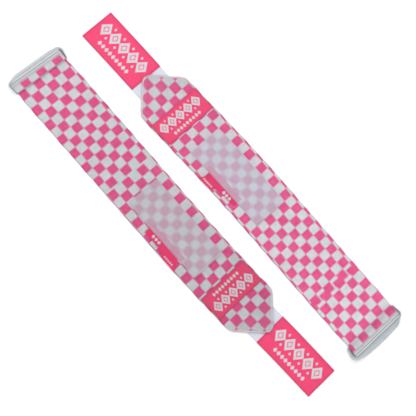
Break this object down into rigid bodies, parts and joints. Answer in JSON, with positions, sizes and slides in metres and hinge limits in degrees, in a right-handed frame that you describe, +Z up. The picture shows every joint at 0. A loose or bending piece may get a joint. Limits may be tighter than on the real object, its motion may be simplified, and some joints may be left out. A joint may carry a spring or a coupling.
{
  "type": "wrist wrap pair",
  "caption": "Pair of checked elastic wrist wraps laid flat, each with a thumb loop, pile patch, tapered end and hook tab.",
  "frame": {"origin": "middle of the pair on the surface it lies on, skin side down", "axes": "+X along the wraps, from the right wrap's thumb end to its tab; +Y across, from the right wrap to the left one; +Z up, out of the outer faces"},
  "size_m": [0.591, 0.1882, 0.009],
  "materials": {
    "band_knit": "ribbed elastic jacquard knit in pink and greyish-white checks",
    "pile": "fuzzy translucent nylon loop pile",
    "pink_thread": "pink polyester sewing thread",
    "white_thread": "white bulked overlock thread",
    "grey_thread": "grey sewing thread",
    "loop_tape": "white ribbed elastic tape",
    "label_satin": "pink woven satin",
    "woven_label": "pink damask weave with a white woven pattern",
    "hook_tape": "translucent white nylon tape",
    "hooks": "moulded white nylon hooks"
  },
  "bodies": {
    "right_hem_section": {"right_band_1": "band_knit", "right_hem_overlock": "white_thread", "right_thumb_loop_ends": "loop_tape"},
    "right_section_2": {"right_band_2": "band_knit"},
    "right_section_3": {"right_band_3": "band_knit"},
    "right_section_4": {"right_band_4": "band_knit", "right_pile_patch_1": "pile", "right_patch_stitch_1": "pink_thread"},
    "right_patch_section": {"right_band_5": "band_knit", "right_pile_patch_2": "pile", "right_patch_stitch_2": "pink_thread", "right_flag_label_root": "label_satin"},
    "right_section_6": {"right_band_6": "band_knit", "right_pile_patch_3": "pile", "right_patch_stitch_3": "pink_thread"},
    "right_taper_section": {"right_band_7": "band_knit", "right_band_label": "woven_label", "right_band_label_stitch": "pink_thread", "right_taper_overlock": "grey_thread", "right_taper_stitch": "grey_thread", "right_hook_tape_root": "hook_tape"},
    "right_tab": {"right_hook_tape": "hook_tape", "right_hook_field": "hooks", "right_tab_label": "woven_label", "right_tab_label_stitch": "pink_thread"},
    "right_loop": {"right_thumb_loop": "loop_tape"},
    "right_flag": {"right_flag_label": "label_satin"},
    "left_hem_section": {"left_band_1": "band_knit", "left_hem_overlock": "white_thread", "left_thumb_loop_ends": "loop_tape"},
    "left_section_2": {"left_band_2": "band_knit"},
    "left_section_3": {"left_band_3": "band_knit"},
    "left_section_4": {"left_band_4": "band_knit", "left_pile_patch_1": "pile", "left_patch_stitch_1": "pink_thread"},
    "left_patch_section": {"left_band_5": "band_knit", "left_pile_patch_2": "pile", "left_patch_stitch_2": "pink_thread", "left_flag_label_root": "label_satin"},
    "left_section_6": {"left_band_6": "band_knit", "left_pile_patch_3": "pile", "left_patch_stitch_3": "pink_thread"},
    "left_taper_section": {"left_band_7": "band_knit", "left_band_label": "woven_label", "left_band_label_stitch": "pink_thread", "left_taper_overlock": "grey_thread", "left_taper_stitch": "grey_thread", "left_hook_tape_root": "hook_tape"},
    "left_tab": {"left_hook_tape": "hook_tape", "left_hook_field": "hooks", "left_tab_label": "woven_label", "left_tab_label_stitch": "pink_thread"},
    "left_loop": {"left_thumb_loop": "loop_tape"},
    "left_flag": {"left_flag_label": "label_satin"}
  },
  "joints": [
    {"name": "right_band_flex_1", "type": "hinge", "parent": "right_section_2", "child": "right_hem_section", "pos_m": [-0.225, -0.052, 0.0012], "axis": [0, 1, 0], "range_deg": [0, 38]},
    {"name": "right_band_flex_2", "type": "hinge", "parent": "right_section_3", "child": "right_section_2", "pos_m": [-0.164, -0.052, 0.0012], "axis": [0, 1, 0], "range_deg": [0, 38]},
    {"name": "right_band_flex_3", "type": "hinge", "parent": "right_section_4", "child": "right_section_3", "pos_m": [-0.103, -0.052, 0.0012], "axis": [0, 1, 0], "range_deg": [0, 38]},
    {"name": "right_band_flex_4", "type": "hinge", "parent": "right_patch_section", "child": "right_section_4", "pos_m": [-0.042, -0.052, 0.0012], "axis": [0, 1, 0], "range_deg": [0, 38]},
    {"name": "right_band_flex_5", "type": "hinge", "parent": "right_patch_section", "child": "right_section_6", "pos_m": [0.048, -0.052, 0.0012], "axis": [0, -1, 0], "range_deg": [0, 38]},
    {"name": "right_band_flex_6", "type": "hinge", "parent": "right_section_6", "child": "right_taper_section", "pos_m": [0.076, -0.052, 0.0012], "axis": [0, -1, 0], "range_deg": [0, 38]},
    {"name": "right_tab_peel", "type": "hinge", "parent": "right_taper_section", "child": "right_tab", "pos_m": [0.184, -0.052, 0.0012], "axis": [0, -1, 0], "range_deg": [0, 95]},
    {"name": "right_thumb_loop_lift", "type": "hinge", "parent": "right_hem_section", "child": "right_loop", "pos_m": [-0.2846, -0.052, 0.0024], "axis": [0, 1, 0], "range_deg": [0, 100]},
    {"name": "right_flag_label_lift", "type": "hinge", "parent": "right_patch_section", "child": "right_flag", "pos_m": [0.0025, -0.078, 0.0026], "axis": [-1, 0, 0], "range_deg": [0, 110]},
    {"name": "left_band_flex_1", "type": "hinge", "parent": "left_section_2", "child": "left_hem_section", "pos_m": [0.225, 0.052, 0.0012], "axis": [0, -1, 0], "range_deg": [0, 38]},
    {"name": "left_band_flex_2", "type": "hinge", "parent": "left_section_3", "child": "left_section_2", "pos_m": [0.164, 0.052, 0.0012], "axis": [0, -1, 0], "range_deg": [0, 38]},
    {"name": "left_band_flex_3", "type": "hinge", "parent": "left_section_4", "child": "left_section_3", "pos_m": [0.103, 0.052, 0.0012], "axis": [0, -1, 0], "range_deg": [0, 38]},
    {"name": "left_band_flex_4", "type": "hinge", "parent": "left_patch_section", "child": "left_section_4", "pos_m": [0.042, 0.052, 0.0012], "axis": [0, -1, 0], "range_deg": [0, 38]},
    {"name": "left_band_flex_5", "type": "hinge", "parent": "left_patch_section", "child": "left_section_6", "pos_m": [-0.048, 0.052, 0.0012], "axis": [0, 1, 0], "range_deg": [0, 38]},
    {"name": "left_band_flex_6", "type": "hinge", "parent": "left_section_6", "child": "left_taper_section", "pos_m": [-0.076, 0.052, 0.0012], "axis": [0, 1, 0], "range_deg": [0, 38]},
    {"name": "left_tab_peel", "type": "hinge", "parent": "left_taper_section", "child": "left_tab", "pos_m": [-0.184, 0.052, 0.0012], "axis": [0, 1, 0], "range_deg": [0, 95]},
    {"name": "left_thumb_loop_lift", "type": "hinge", "parent": "left_hem_section", "child": "left_loop", "pos_m": [0.2846, 0.052, 0.0024], "axis": [0, -1, 0], "range_deg": [0, 100]},
    {"name": "left_flag_label_lift", "type": "hinge", "parent": "left_patch_section", "child": "left_flag", "pos_m": [-0.0025, 0.026, 0.0026], "axis": [-1, 0, 0], "range_deg": [0, 110]},
    {"name": "left_wrap_apart", "type": "slide", "parent": "right_patch_section", "child": "left_patch_section", "axis": [0, 1, 0], "range_m": [0, 0.06]}
  ]
}
